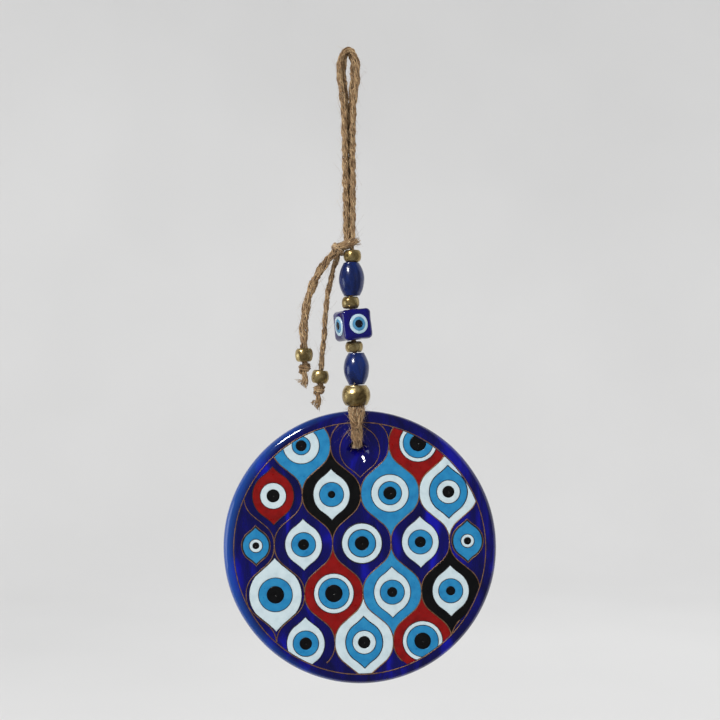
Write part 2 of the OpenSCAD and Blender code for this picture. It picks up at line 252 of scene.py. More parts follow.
def bead_glass_material(name, deep, pale, transmission, roughness, streak):
    """Coloured bead glass with soft streaks along the bore."""
    s = Shader(name, roughness=roughness, transmission=transmission, ior=1.5, coat=0.4)
    s.set("Coat Roughness", 0.05)
    streaks = s.noise(streak, 4, s.stretched((1.0, 1.0, 0.25)), distortion=0.8)
    s.link(s.ramp(streaks, [(0.3, deep), (0.72, pale)]), "Base Color")
    s.bump(s.noise(500, 3), 0.06, 0.0003)
    return s.material


def stage_material():
    """A pale, evenly lit backdrop."""
    s = Shader("pale_stage", roughness=0.95)
    grey = s.ramp(s.noise(3, 2), [(0.3, srgb(172, 172, 172)), (0.7, srgb(175, 175, 175))])
    s.link(grey, "Base Color")
    s.link(grey, "Emission Color")
    s.set("Emission Strength", 0.74)
    return s.material


JUTE = jute_material()
BRASS = brass_material()
DISC_GLASS = disc_glass_material()
WHITE = enamel_material("white_enamel", srgb(168, 185, 192), srgb(181, 197, 203), srgb(190, 204, 209))
BLUE = enamel_material("turquoise_enamel", srgb(18, 100, 150), srgb(28, 117, 165), srgb(40, 128, 172))
RED = enamel_material("red_enamel", srgb(96, 0, 0), srgb(120, 2, 1), srgb(132, 5, 4))
BLACK = enamel_material("black_enamel", srgb(3, 3, 4), srgb(7, 7, 8), srgb(12, 12, 14))
GOLD = gold_line_material()
DARK = dark_line_material()
OVAL_GLASS = bead_glass_material("oval_glass", srgb(3, 16, 62), srgb(12, 42, 112), 0.25, 0.22, 260)
CUBE_GLASS = bead_glass_material("cube_glass", srgb(4, 2, 56), srgb(10, 6, 112), 0.1, 0.12, 140)
EYE_WHITE = bead_glass_material("eye_white_glass", srgb(150, 184, 202), srgb(196, 214, 222), 0.0, 0.12, 300)
EYE_BLUE = bead_glass_material("eye_blue_glass", srgb(46, 108, 152), srgb(92, 156, 190), 0.0, 0.12, 300)
EYE_PUPIL = bead_glass_material("eye_pupil_glass", srgb(3, 8, 16), srgb(10, 24, 40), 0.0, 0.08, 300)


# ---- mesh tools


def shown(mesh, material):
    """Puts a mesh in the scene as a smooth object of the same name."""
    mesh.materials.append(material)
    mesh.polygons.foreach_set("use_smooth", [True] * len(mesh.polygons))
    mesh.update()
    piece = bpy.data.objects.new(mesh.name, mesh)
    scene.collection.objects.link(piece)
    return piece


def new_piece(name, points, faces, material, tones=None):
    """A smooth mesh object. Points are in metres."""
    mesh = bpy.data.meshes.new(name)
    mesh.from_pydata(np.asarray(points, float).tolist(), [], [list(f) for f in faces])
    if tones is not None:
        attribute = mesh.attributes.new("tone", "FLOAT", "POINT")
        attribute.data.foreach_set("value", np.asarray(tones, np.float32))
    return shown(mesh, material)


def clean(piece, merge=1e-6):
    """Joins points that coincide, drops faces with no area, and turns all faces outwards."""
    bm = bmesh.new()
    bm.from_mesh(piece.data)
    bmesh.ops.remove_doubles(bm, verts=bm.verts, dist=merge)
    bmesh.ops.dissolve_degenerate(bm, edges=bm.edges, dist=merge)
    bmesh.ops.recalc_face_normals(bm, faces=bm.faces)
    bm.to_mesh(piece.data)
    bm.free()
    return piece


def roughen(piece, amount, size, seed):
    """Moves each point along its normal by a smooth noise, amount and size in metres."""
    mesh = piece.data
    offset = Vector((seed * 7.31, seed * 3.17, seed * 5.53))
    for vertex, normal in zip(mesh.vertices, [n.vector.copy() for n in mesh.vertex_normals]):
        vertex.co += normal * amount * noise.noise(vertex.co / size + offset)
    mesh.update()
    return piece


def cut(piece, cutter):
    """Takes cutter's shape out of piece, and removes the cutter."""
    modifier = piece.modifiers.new("cut", "BOOLEAN")
    modifier.operation = "DIFFERENCE"
    modifier.solver = "EXACT"
    modifier.object = cutter
    bpy.context.view_layer.update()
    evaluated = piece.evaluated_get(bpy.context.evaluated_depsgraph_get())
    mesh = bpy.data.meshes.new_from_object(evaluated)
    piece.modifiers.clear()
    piece.data = mesh
    bpy.data.objects.remove(cutter)
    return piece


def grid_faces(rows, columns, closed_rows=False, start=0):
    """Quads between rings of points: each row is a closed ring of that many columns."""
    i, k = np.meshgrid(np.arange(rows if closed_rows else rows - 1), np.arange(columns), indexing="ij")
    j, m = (i + 1) % rows, (k + 1) % columns
    quads = np.stack([i * columns + k, i * columns + m, j * columns + m, j * columns + k], -1)
    return (quads.reshape(-1, 4) + start).tolist()


def join(parts):
    """Several (points, faces) as one."""
    points, faces, start = [], [], 0
    for p, f in parts:
        points.append(p)
        faces += [[start + i for i in face] for face in f]
        start += len(p)
    return np.vstack(points), faces


def lathe(profile, segments):
    """The points of an outline of (radius, height) turned round Z."""
    turn = TAU * np.arange(segments) / segments
    rings = [[(r * math.cos(a), r * math.sin(a), z) for a in turn] for r, z in profile]
    return np.array(rings).reshape(-1, 3)


def arc(centre, radius, first, last, steps):
    """Points on a flat arc, with angles in degrees."""
    angles = np.radians(np.linspace(first, last, steps + 1))
    return [(centre[0] + radius * math.cos(a), centre[1] + radius * math.sin(a)) for a in angles]


# ---- twine


def smooth_line(points, step):
    """A smooth curve through the points, as evenly spaced points."""
    p = np.array(points, float)
    p = np.vstack([2 * p[0] - p[1], p, 2 * p[-1] - p[-2]])
    t = np.linspace(0, 1, 13)[:-1, None]
    parts = []
    for a, b, c, d in zip(p[:-3], p[1:-2], p[2:-1], p[3:]):
        parts.append(0.5 * (2 * b + (c - a) * t + (2 * a - 5 * b + 4 * c - d) * t**2
                            + (3 * b - a - 3 * c + d) * t**3))
    fine = np.vstack([*parts, p[-2:-1]])
    along = np.concatenate([[0], np.cumsum(np.linalg.norm(np.diff(fine, axis=0), axis=1))])
    at = np.linspace(0, along[-1], max(4, round(along[-1] / step)) + 1)
    return np.stack([np.interp(at, along, fine[:, k]) for k in range(3)], axis=1)


def length_of(line):
    return float(np.linalg.norm(np.diff(line, axis=0), axis=1).sum())


def frames_along(line):
    """Two side vectors at each point of a line, carried along it without twisting."""
    ahead = np.gradient(line, axis=0)
    ahead /= np.linalg.norm(ahead, axis=1)[:, None]
    sides = np.empty_like(line)
    now = np.array([0.6, 0.8, 0.02])
    for i, d in enumerate(ahead):
        now = now - (now @ d) * d
        now /= np.linalg.norm(now)
        sides[i] = now
    return ahead, sides, np.cross(ahead, sides)


def waves(rng, count, along, lengths):
    """Smooth random curves, about -1 to 1, one a row, along a length."""
    total = np.zeros((count, len(along)))
    for size in lengths:
        total += np.sin(TAU * (along[None] / size + rng.random((count, 1))))
    return total / len(lengths)


def bundle(paths, radii, side_a, side_b, sides):
    """Closed tubes round paths of shape (tubes, rings, 3), as points and faces."""
    tubes, rings, _ = paths.shape
    turn = TAU * np.arange(sides) / sides
    across = np.cos(turn)[:, None] * side_a[..., None, :] + np.sin(turn)[:, None] * side_b[..., None, :]
    points = paths[:, :, None] + radii[:, :, None, None] * across
    faces = []
    one = np.array(grid_faces(rings, sides))
    for n in range(tubes):
        start = n * rings * sides
        faces += (one + start).tolist()
        faces.append([start + k for k in range(sides - 1, -1, -1)])
        faces.append([start + (rings - 1) * sides + k for k in range(sides)])
    return points.reshape(-1, 3), faces


# Sizes of the lay, as multiples of the twine's diameter.
PLY_PITCH = 5.4
FIBRE_PITCH = 5.0
PLY_ORBIT = 0.14
PLY_R = 0.36

FIBRES = 15
FIBRE_SIDES = 4
RING_STEP = 0.5 * MM
HAIR_R = 0.05 * MM
HAIR_RINGS = 7
HAIR_SIDES = 3


def twine(name, line, diameter, seed, fray_end=0.0, openness=1.0):
    """Soft two-ply jute twine along a line: two plies wind round each other and nearly merge,
    and in each ply the fibres wind the other way. Its last stretch frays, fray_end long."""
    rng = np.random.default_rng(seed)
    _, side, other = frames_along(line)
    along = np.linspace(0, length_of(line), len(line))
    fray = np.zeros_like(along)
    if fray_end:
        fray = np.clip(1 - (along[-1] - along) / fray_end, 0, 1) ** 1.5
    paths, radii, tones = [], [], []
    for ply in range(2):
        slow = waves(rng, 2, along, (9 * MM, 21 * MM))
        ply_angle = TAU * (along / (PLY_PITCH * diameter) + ply / 2) + 0.35 * slow[0]
        ply_orbit = diameter * PLY_ORBIT * openness * (1 + 0.2 * slow[1])
        ply_radius = diameter * PLY_R
        ply_tone = rng.uniform(-0.06, 0.06)
        drift = waves(rng, FIBRES, along, (6 * MM, 13 * MM))
        swell = waves(rng, FIBRES, along, (2.3 * MM, 5.1 * MM))
        for n in range(FIBRES):
            angle = -TAU * (along / (FIBRE_PITCH * diameter) + n / FIBRES) + 0.7 * drift[n]
            depth = rng.uniform(0.6, 0.95)
            orbit = ply_radius * (depth + 0.12 * swell[n]) * (1 + fray * rng.uniform(0.6, 3.2))
            across = ply_orbit * np.cos(ply_angle) + orbit * np.cos(angle)
            up = ply_orbit * np.sin(ply_angle) + orbit * np.sin(angle)
            paths.append(line + across[:, None] * side + up[:, None] * other)
            radii.append(ply_radius * (rng.uniform(0.18, 0.34) + 0.04 * swell[n]) * (1 - 0.6 * fray))
            tone = 0.5 + ply_tone + rng.uniform(-0.3, 0.3) + 0.1 * drift[n]
            tones.append(np.repeat(tone, FIBRE_SIDES))
    points, faces = bundle(np.array(paths), np.array(radii), side, other, FIBRE_SIDES)
    return new_piece(name, points, faces, JUTE, np.clip(np.concatenate(tones), 0, 1))


def fuzz(name, line, diameter, seed, per_metre=2600, longest=8 * MM, spread=1.0, front=False):
    """Loose hairs that stand off a strand of twine, all round it or on its front half only.
    Spread says how far they rise from it."""
    rng = np.random.default_rng(seed)
    ahead, side, other = frames_along(line)
    count = max(6, round(per_metre * length_of(line)))
    at = rng.integers(1, len(line) - 1, count)
    turn = rng.uniform(0, TAU, (count, 1))
    out = np.cos(turn) * side[at] + np.sin(turn) * other[at]
    if front:
        out[:, 1] = -0.3 * np.abs(out[:, 1])
    lean = ahead[at] * rng.choice([-1, 1], (count, 1))
    swing = np.cross(out, lean)
    size = longest * (0.2 + 0.8 * rng.random((count, 1)) ** 2.2)
    rise = spread * rng.uniform(0.0, 0.6, (count, 1)) ** 1.2
    curl = rng.uniform(-0.35, 0.35, (count, 1))
    t = np.linspace(0, 1, HAIR_RINGS)
    root = line[at] + 0.42 * diameter * out
    steps = size[:, None] * (t[None, :, None] * (lean + 0.15 * out)[:, None]
                             + (t**1.6)[None, :, None] * (rise * out)[:, None]
                             + (t**2)[None, :, None] * (curl * swing)[:, None])
    paths = root[:, None] + steps
    radii = HAIR_R * np.repeat(1 - 0.65 * t[None], count, 0)
    shape = paths.shape
    points, faces = bundle(paths, radii, np.broadcast_to(out[:, None], shape),
                           np.broadcast_to(swing[:, None], shape), HAIR_SIDES)
    tones = np.repeat(rng.uniform(0.35, 1.0, count), HAIR_RINGS * HAIR_SIDES)
    return new_piece(name, points, faces, JUTE, tones)


def mirrored(half):
    """A route given up to its middle point, with the other half mirrored in x."""
    return half + [[-x, y, z] for x, y, z in half[-2::-1]]


LOOP_FRONT = [
    [-1.1, -1.15, -83], [-1.3, -1.15, -79.5], [-1.5, -1.15, -70], [-1.6, -1.2, -55],
    [-1.8, -1.2, -38], [-2.1, -1.2, -26], [-2.9, -1.1, -17], [-3.8, -1, -10.5], [-3.9, -1, -5],
    [-3.1, -1, -1.2], [-1.8, -1, 1.1], [0, -1, 1.9],
]
LOOP_BACK = [
    [-1, 1.15, -83], [-1.15, 1.15, -79.5], [-1.15, 1.2, -62], [-1.15, 1.2, -42],
    [-1.15, 1.2, -26], [-1.4, 1.25, -17.5], [-2, 1.25, -11.5], [-2.3, 1.25, -6],
    [-2, 1.25, -2.2], [-1.2, 1.25, 0.2], [0, 1.25, 1.1],
]
# The loop leans to the left going down, by this much of its drop.
LOOP_LEAN = 0.016
BEAD_ROUTE = [
    [-0.6, -1.12, -82.5], [-0.3, -1.12, -85.6], [-0.3, -1.12, -88.5], [-0.8, -1.12, -98.7],
    [-1.4, -1.12, -109], [-0.9, -1.12, -118.8], [-0.4, -1.12, -128.4], [0.3, -1.12, -138.1],
    [0.1, -1.12, -145], [-0.5, -1, -147.9], [-0.9, -0.7, -150.5],
]
HITCH_HALF = [
    [-1.15, 0, -153.1], [-1.15, -0.8, -154.9], [-1.2, -3, -155.7], [-1.6, -4.8, -157.7],
    [-1.9, -5.5, -160.5], [-1.6, -5.5, -168], [-1.3, -4.7, -170.8], [-1.15, -2.4, -171.7],
    [-1.15, 2.4, -171.6], [-1.3, 4.7, -170.3], [-1.9, 5.4, -167.5], [-3, 5.4, -162.5],
    [-3.4, 4.8, -158.3], [-3.4, 2.8, -156.1], [-3.4, 0, -155.25], [-3.4, -2.8, -156.1],
    [-3.4, -5, -157.8], [-2.7, -6.5, -160], [-1.5, -6.9, -162], [0, -7, -162.8],
]
LEFT_TAIL = [
    [-3.6, -1.4, -83.6], [-5.6, -1.8, -84.9], [-7.9, -2, -87], [-11.3, -2, -90.6],
    [-14.9, -2, -95.3], [-18.4, -2, -102.2], [-20.5, -2, -108.6], [-21.8, -2, -115.2],
    [-22.4, -2, -121.5], [-22.4, -2, -128.2], [-22.4, -2, -134.4],
]
RIGHT_TAIL = [
    [-3.2, 1.1, -83.8], [-5, 1.5, -85.4], [-6.4, 1.5, -87.5], [-8.7, 1.3, -93.9],
    [-10.6, 1.3, -101.2], [-12.1, 1.3, -108.2], [-12.9, 1.3, -115.8], [-13.54, 1.3, -123.3],
    [-14.62, 1.3, -132.3], [-16.05, 1.3, -144.2],
]
TWINE_D = 2.2 * MM
LEFT_TAIL_D = 3.4 * MM

# How much fuller than its CAD node a strand is drawn, since its fibres are loose.
FULLNESS = 1.25
TAIL_FULLNESS = 1.08

# In the beads' bores the strands are drawn thinner, and the hitch is narrower than its CAD node.
IN_BORE = 0.88
HITCH_DRAWN_IN = 0.68

# Below this height the two bead strands cross over inside the big bead.
CROSSING_Z = -147


def line_of(route):
    return smooth_line(np.array(route, float) * MM, RING_STEP)


def on_jute(piece, *nodes):
    if nodes:
        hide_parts(*nodes)
    return piece


def make_loop_strand(name, half, seed):
    """One strand of the hanging loop."""
    line = line_of([[x + LOOP_LEAN * z, y, z] for x, y, z in mirrored(half)])
    strand = on_jute(twine(name, line, FULLNESS * TWINE_D, seed), name.replace("twine", "strand"))
    hairs = on_jute(fuzz(name + "_hairs", line, FULLNESS * TWINE_D, seed + 50))
    for piece in (strand, hairs):
        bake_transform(piece)


def make_bead_cord(name, side, seed):
    """One of the two strands that the beads are strung on."""
    crossing = [[x if z > CROSSING_Z else x * -side, y * -side, z] for x, y, z in BEAD_ROUTE]
    line = line_of(crossing)
    strand = on_jute(twine(name.replace("cord", "twine"), line, IN_BORE * TWINE_D, seed), name)
    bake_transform(strand)


def make_hitch():
    """The twine through the disc's hole and round its rim."""
    line = line_of([[HITCH_DRAWN_IN * x, y, z] for x, y, z in mirrored(HITCH_HALF)])
    strand = on_jute(twine("hitch_twine", line, FULLNESS * TWINE_D, 7), "disc_hitch")
    hairs = on_jute(fuzz("hitch_hairs", line, FULLNESS * TWINE_D, 57, per_metre=3000, longest=6 * MM))
    top = line_of([[0, -5.6, -156.6], [0, -5.8, -159.5], [0, -5.8, -163]])
    fan = on_jute(fuzz("hitch_fan", top, 5 * MM, 61, per_metre=9000, longest=9 * MM, spread=2.2, front=True))
    for piece in (strand, hairs, fan):
        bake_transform(piece)


def make_tail_end(name, bead, body, diameter, lean, seed):
    """The overhand knot that holds a tail's bead, and the frayed end under it, which bends left."""
    middle = middle_of(bead) / MM
    down = np.array([-math.sin(lean), 0, -math.cos(lean)])
    across = np.array([math.cos(lean), 0, -math.sin(lean)])
    depth = np.array([0, 1, 0])
    top = np.array(middle) + 2.2 * down
    core = [top + s * down + 0.35 * math.sin(s) * across for s in (0, 1.5, 3, 5, 7, 9, 11)]
    core[-1] = core[-1] - 1.1 * across
    wrap = []
    for k in range(17):
        turn = TAU * k / 10
        round_it = 1.5 * math.cos(turn) * across + 1.45 * math.sin(turn) * depth
        wrap.append(top + (2.5 + 0.16 * k) * down + round_it)
    strand = line_of(core)
    knot = on_jute(twine(name, strand, 1.35 * diameter, seed, fray_end=3.5 * MM), body + "_knot")
    coil = on_jute(twine(name + "_wrap", line_of(wrap), 2.6 * MM, seed + 1))
    hairs = on_jute(fuzz(name + "_hairs", strand, 4.4 * MM, seed + 2, per_metre=3200, longest=3.6 * MM))
    pieces = [knot, coil, hairs]
    for piece in pieces:
        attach(piece, body)
    return pieces


def make_tail(name, route, diameter, bead, lean, pivot, seed):
    """A tail of the twine, with its bead and its end knot. Its pivot is not used, and its name
    is its body's name too."""
    pivot = Vector(pivot) * MM
    line = line_of(route)
    full = TAIL_FULLNESS * diameter
    strand = on_jute(twine(name + "_twine", line, full, seed, openness=1.05), name + "_cord")
    hairs = on_jute(fuzz(name + "_hairs", line, full, seed + 50))
    for piece in (strand, hairs):
        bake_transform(piece)
    ends = make_tail_end(name + "_end", bead, name, TWINE_D * 0.95, lean, seed + 10)


def make_main_knot():
    """The knot over the beads: a wrap round the bundle that slopes down to the tails, a
    collar round the tails, and a short frayed tag on the right."""
    wrap = []
    for k in range(37):
        turn = TAU * k / 12 + 1.2
        drop = k / 36
        wide = math.sin(math.pi * drop)
        x = -1.2 - 3.8 * drop + (2.6 + 0.9 * wide) * math.cos(turn)
        y = (2.6 + 0.5 * wide) * math.sin(turn)
        wrap.append([x, y, -82.3 - 2.5 * drop + 0.9 * math.cos(turn)])
    collar = []
    for k in range(16):
        turn = TAU * k / 11 + 2.4
        x = -6 + 1.7 * math.cos(turn) - 0.06 * k
        collar.append([x, -0.3 + 3.1 * math.sin(turn), -85.1 - 1.6 * math.cos(turn) - 0.07 * k])
    tag = [[-2, -2.4, -83.4], [-0.2, -3.2, -83.1], [1.3, -3.3, -82.6], [2.7, -2.8, -81.9]]
    wrap_line = line_of(wrap)
    pieces = [
        on_jute(twine("main_knot_wrap", wrap_line, 2.9 * MM, 31), "main_knot"),
        on_jute(twine("main_knot_collar", line_of(collar), 2.5 * MM, 32)),
        on_jute(twine("main_knot_tag", line_of(tag), 2 * MM, 33, fray_end=2.8 * MM)),
        on_jute(fuzz("main_knot_hairs", wrap_line, 2.9 * MM, 34, per_metre=3200, longest=5 * MM)),
    ]
    for piece in pieces:
        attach(piece, "knot")


# ---- beads


def turned(name, profile, at, material, segments=64):
    """A closed solid turned round Z from a closed outline of (radius, height), in millimetres."""
    points = lathe(profile, segments) * MM
    piece = new_piece(name, points, grid_faces(len(profile), segments, closed_rows=True), material)
    piece.data.transform(at)
    return clean(piece)


def bead_outline(side, bore, lip):
    """Closes a bead's side, given from bottom to top, with its ends and its bore."""
    (low_r, low_z), (high_r, high_z) = side[0], side[-1]
    top = arc((high_r - lip, high_z), lip, 10, 90, 3) + arc((bore + lip, high_z), lip, 90, 180, 3)
    bottom = arc((bore + lip, low_z), lip, 180, 270, 3) + arc((low_r - lip, low_z), lip, 270, 350, 3)
    wall = [(bore, high_z + (low_z - high_z) * t / 8) for t in range(1, 8)]
    return side + top + wall + bottom


def ball_outline(d, h, bore):
    """A ball bead whose ends are worn round: its side is half an ellipse from end to end."""
    neck = bore + 0.25
    turn = np.radians(np.linspace(-84, 84, 33))
    side = [(neck + (d / 2 - neck) * math.cos(a), h / 2 * math.sin(a)) for a in turn]
    wall = [(bore, h / 2 * (0.9 - 1.8 * t / 8)) for t in range(9)]
    top = [(neck, h / 2), (bore + 0.07, h / 2 * 0.97)]
    bottom = [(r, -z) for r, z in reversed(top)]
    return side + top + wall + bottom


def oval_outline(d, h, end_d, bore, lip=0.45):
    """A barrel bead: its side is an arc from end to end."""
    rise = (d - end_d) / 2
    side_r = (h * h / 4 + rise * rise) / (2 * rise)
    half = math.degrees(math.asin((h / 2 - lip) / side_r))
    return bead_outline(arc((d / 2 - side_r, 0), side_r, -half, half, 36), bore, lip)


def size_of(node):
    """A CAD node's size in millimetres."""
    low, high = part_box(node)
    return (high - low) / MM


BALL_BORE_R = 2.3
OVAL_BORE_R = 2.6
OVAL_END_D = 6.6


def make_ball(name, node, body, seed, lean=0.0, height=None):
    """A small brass bead. A leaning one says its height along its own bore."""
    size = size_of(node)
    at = Matrix.Translation(middle_of(node)) @ Matrix.Rotation(lean, 4, "Y")
    piece = turned(name, ball_outline(size.y, height or size.z, BALL_BORE_R), at, BRASS)
    roughen(piece, 0.14 * MM, 2.6 * MM, seed)
    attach(piece, body)
    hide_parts(node)
    return piece


def make_oval(name, node, body, seed):
    """A glass bead longer than it is wide."""
    size = size_of(node)
    outline = oval_outline(size.y, size.z, OVAL_END_D, OVAL_BORE_R)
    piece = turned(name, outline, Matrix.Translation(middle_of(node)), OVAL_GLASS)
    roughen(piece, 0.22 * MM, 5 * MM, seed)
    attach(piece, body)
    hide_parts(node)


BIG_BEAD_Z = -149.9
BIG_BORE_R = 3


def make_big_bead():
    """The ball on the disc, with a wide mouth below that the twine comes out of."""
    low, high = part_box("big_brass_bead")
    r = (high.y - low.y) / 2 / MM
    middle = Vector((0, 0, BIG_BEAD_Z)) * MM
    top = (high.z - middle.z) / MM
    lip = 0.3
    side = arc((0, 0), r, -43, math.degrees(math.asin((top - lip) / r)), 34)
    outline = side + arc((side[-1][0] - lip, side[-1][1]), lip, 10, 90, 3)
    outline += arc((BIG_BORE_R + lip, side[-1][1]), lip, 90, 180, 3)
    outline += [(BIG_BORE_R, z) for z in (3, 1, -1, -2.7)]
    outline += [(3.15, -3.1), (4.1, -4.15), (4.35, -4.38)]
    piece = turned("big_brass_ball", outline, Matrix.Translation(middle), BRASS, 96)
    roughen(piece, 0.2 * MM, 4 * MM, 9)
    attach(piece, "big_bead")
    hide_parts("big_brass_bead")


CUBE_SIDE = 13.4
CUBE_ROUND = 2.1
CUBE_BORE_R = 3
CUBE_AT = (-0.8, 0, -118.8)
CUBE_TILT = math.radians(-5)
CUBE_TURN = math.radians(24)
CUBE_PLACE = (Matrix.Translation(Vector(CUBE_AT) * MM)
              @ Matrix.Rotation(CUBE_TILT, 4, "Y") @ Matrix.Rotation(CUBE_TURN, 4, "Z"))
EYE_R = 4.3


def make_cube():
    """The glass cube: softly rounded edges and a bore."""
    bm = bmesh.new()
    bmesh.ops.create_cube(bm, size=CUBE_SIDE * MM)
    bmesh.ops.subdivide_edges(bm, edges=bm.edges, cuts=30, use_grid_fill=True)
    inner = (CUBE_SIDE / 2 - CUBE_ROUND) * MM
    for vertex in bm.verts:
        core = Vector([max(-inner, min(inner, c)) for c in vertex.co])
        out = vertex.co - core
        vertex.co = core + out.normalized() * CUBE_ROUND * MM
    mesh = bpy.data.meshes.new("cube_bead")
    bm.to_mesh(mesh)
    bm.free()
    piece = shown(mesh, CUBE_GLASS)
    roughen(piece, 0.35 * MM, 6 * MM, 4)
    rod = [(0.01, -9), (CUBE_BORE_R, -9), (CUBE_BORE_R, 9), (0.01, 9)]
    bore = turned("bore", rod, Matrix.Identity(4), CUBE_GLASS, 48)
    cut(piece, bore)
    piece.data.transform(CUBE_PLACE)
    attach(piece, "eye_cube")
    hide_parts("eye_cube_bead")


def eye_dome(r):
    """How far the melted eye stands off the cube at a distance from its middle."""
    return 0.12 + 0.42 * (1 - (r / EYE_R) ** 2)


def make_cube_eyes(name, node, material, outer, inner, lift, seed):
    """One colour of the eyes on all four sides, as a slightly uneven ring or dot of glass. Its
    edges dip a little, so that it looks melted on."""
    rng = np.random.default_rng(seed)
    segments = 72
    turn = TAU * np.arange(segments) / segments
    base = -0.45
    points, faces = [], []
    for side in range(4):
        uneven = 1 + 0.02 * waves(rng, 1, turn, (TAU / 2, TAU / 3, TAU / 5))[0]
        shift = rng.uniform(-0.12, 0.12, 2) * (EYE_R - outer)
        face = Matrix.Rotation(side * math.pi / 2, 4, "Z") @ Matrix.Rotation(math.pi / 2, 4, "X")
        place = CUBE_PLACE @ face @ Matrix.Translation((0, 0, (CUBE_SIDE / 2) * MM))
        inside = max(inner, 0.02)
        radii = [inside, inside + 0.12, *np.linspace(inside + 0.3, outer - 0.3, 5), outer - 0.12, outer]
        heights = [eye_dome(r) + lift for r in radii]
        heights[-1] -= 0.14
        heights[-2] -= 0.03
        if inner:
            heights[0] -= 0.14
            heights[1] -= 0.03
        profile = list(zip(radii, heights)) + [(outer, base), (inside, base)]
        start = len(points)
        for r, z in profile:
            for a, u in zip(turn, uneven):
                x = r * u * math.cos(a) + shift[0]
                y = r * u * math.sin(a) + shift[1]
                points.append(place @ (Vector((x, y, z)) * MM))
        faces += grid_faces(len(profile), segments, closed_rows=True, start=start)
    piece = clean(new_piece(name, points, faces, material))
    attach(piece, "eye_cube")
    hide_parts(node)


# ---- glass disc

RIM_R = 4.0
HOLE_AT = (0.0, 44.3)
HOLE_BACK_LIP = 1.1
# The hole from its neck out to the front: how high its middle is, its radius, its depth.
FUNNEL = [(45.0, 1.85, 1.6), (44.9, 1.95, 0.4), (44.5, 2.3, -0.8), (43.9, 2.9, -1.8), (43.2, 3.6, -2.6),
          (42.6, 4.2, -3.2), (42.1, 4.7, -3.6), (41.8, 5.0, -3.85), (41.7, 5.2, -4.0)]


def make_disc():
    """The cast disc: flat faces, a round rim and a hole with softened mouths. Its rings of
    points run from the hole out to the rim and back, so they stay even round both."""
    count = 288
    r = DISC_R / MM
    t = (GLASS_BACK - GLASS_FRONT) / MM / 2
    turn = TAU * np.arange(count) / count
    way = np.stack([np.cos(turn), np.sin(turn)], 1)
    hole = np.array(HOLE_AT)
    flat_r = r - RIM_R

    def to_circle(radius):
        """From the hole's middle along each way to a circle round the disc's middle."""
        along = way @ hole
        return hole + way * (-along + np.sqrt(along**2 - hole @ hole + radius**2))[:, None]

    edge = to_circle(flat_r)
    outward = edge / np.linalg.norm(edge, axis=1)[:, None]
    neck = np.array([0, FUNNEL[0][0]])
    rings = [(np.array([0, z]) + way * radius, depth) for z, radius, depth in FUNNEL]
    mouth = rings[-1][0]
    for s in (np.linspace(0, 1, 26)[1:-1]) ** 1.25:
        rings.append((mouth + (edge - mouth) * s, -t))
    for a in np.radians(np.linspace(-90, 90, 19)):
        rings.append((edge + outward * RIM_R * math.cos(a), t * math.sin(a)))
    mouth = neck + way * (FUNNEL[0][1] + HOLE_BACK_LIP)
    for s in (np.linspace(1, 0, 26)[1:]) ** 1.25:
        rings.append((mouth + (edge - mouth) * s, t))
    for a in np.radians([68, 45, 22, 0]):
        out = HOLE_BACK_LIP * (1 - math.cos(a))
        rings.append((neck + way * (FUNNEL[0][1] + out), t - HOLE_BACK_LIP * (1 - math.sin(a))))
    points = []
    for flat, y in rings:
        for x, z in flat:
            far = math.hypot(x, z)
            wobble = 0.12 * noise.noise(Vector((x, 0, z)) / 24) * (far / r)
            swell = 0.35 * noise.noise(Vector((x, 9, z)) / 17) * max(0, y / t)
            points.append((x * (1 + wobble / max(far, 1)), y + swell, z * (1 + wobble / max(far, 1))))
    points = np.array(points) * MM + np.array(DISC_MIDDLE)
    piece = new_piece("glass_pendant", points, grid_faces(len(rings), count, closed_rows=True), DISC_GLASS)
    clean(piece)
    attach(piece, "pendant")
    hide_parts("glass_disc")


# ---- enamel

PITCH = 25.5
ROW_PITCH = 21.6
MIDDLE_ROW = 2
LATTICE_AT = (1.0, 2.2)
RING_R = 55.0
CLIP_R = 54.6
CELL_SIDE = 0.5
CELL_TURN = 50
CELL_ARC_R = ((math.sin(math.radians(CELL_TURN)) * (ROW_PITCH / 2 - CELL_SIDE)
               - math.cos(math.radians(CELL_TURN)) * PITCH / 4) / (1 - math.cos(math.radians(CELL_TURN))))
GOLD_W = 0.42
GOLD_H = 0.26
LONE_GOLD_H = 0.22
FLAT_MERGE = 2e-6

